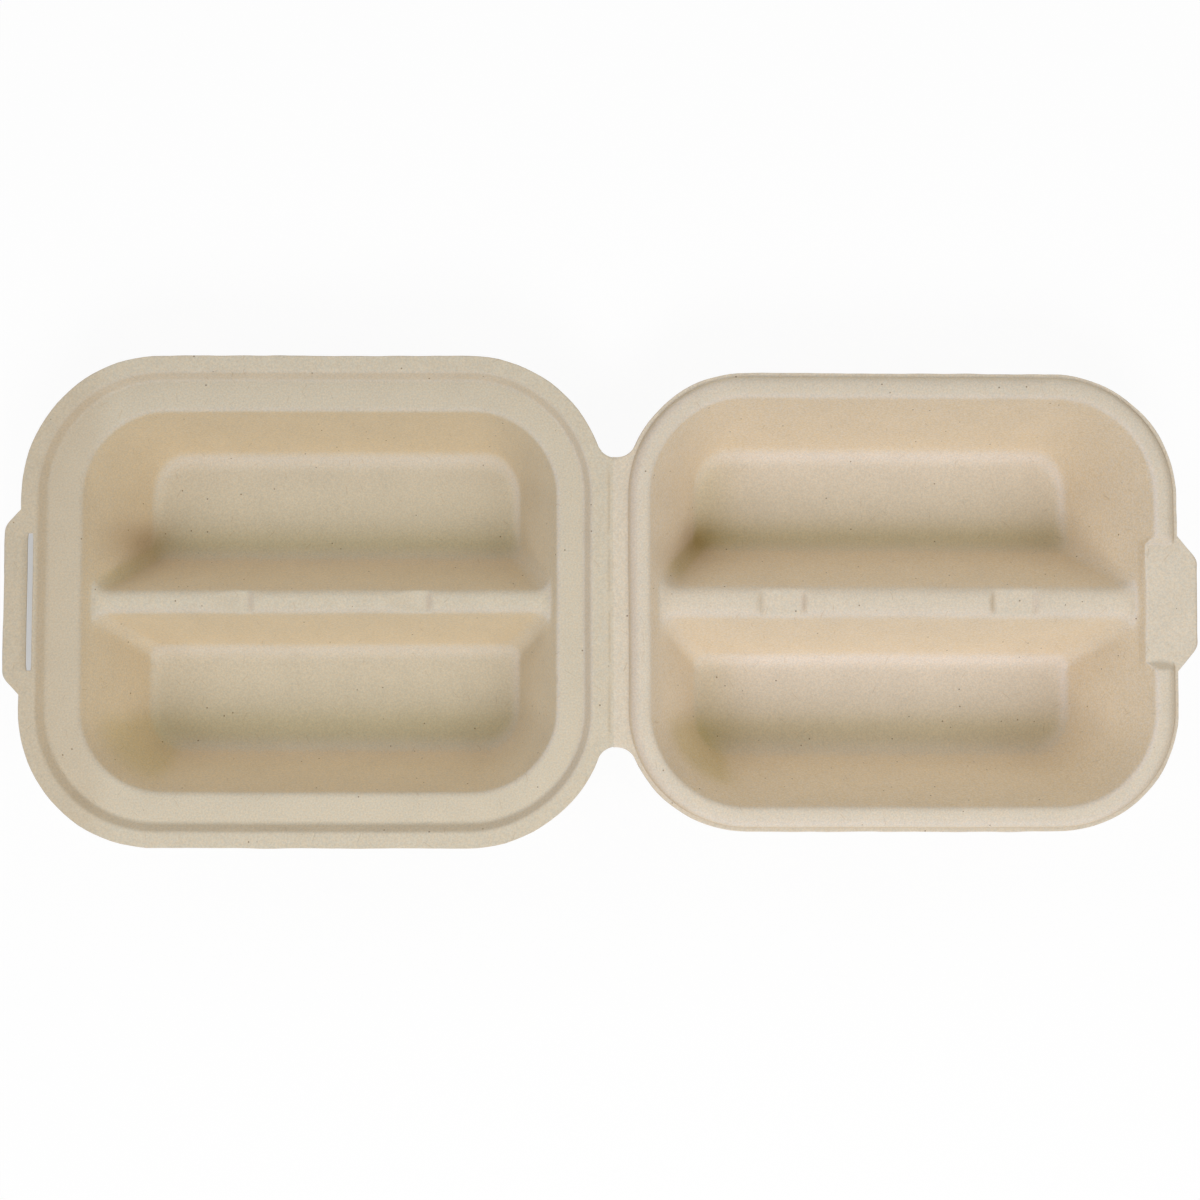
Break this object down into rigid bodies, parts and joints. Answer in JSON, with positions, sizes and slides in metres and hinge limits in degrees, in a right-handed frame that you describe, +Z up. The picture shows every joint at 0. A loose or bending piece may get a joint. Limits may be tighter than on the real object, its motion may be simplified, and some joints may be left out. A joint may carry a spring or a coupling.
{
  "type": "taco clamshell container",
  "caption": "Hinged takeaway box of moulded plant fibre, open flat: a base and a lid with paired troughs split by a ridge, a rolled bead rim, and a tab that tucks into a slot in the lid.",
  "frame": {"origin": "centre of the open container's outline, on the surface it lies on", "axes": "+X from the lid to the base across the fold, +Y along the fold, +Z up out of the troughs"},
  "size_m": [0.4016, 0.1654, 0.0412],
  "materials": {
    "base_fibre": "unbleached moulded plant fibre, matt, fine mottle and specks",
    "lid_fibre": "unbleached moulded plant fibre, matt, fine mottle and specks"
  },
  "bodies": {
    "base": {"base_tray": "base_fibre"},
    "lid": {"lid": "lid_fibre"}
  },
  "joints": [
    {"name": "lid_hinge", "type": "hinge", "parent": "base", "child": "lid", "pos_m": [0.00225, 0, 0.03815], "axis": [0, 1, 0], "range_deg": [0, 180]}
  ]
}
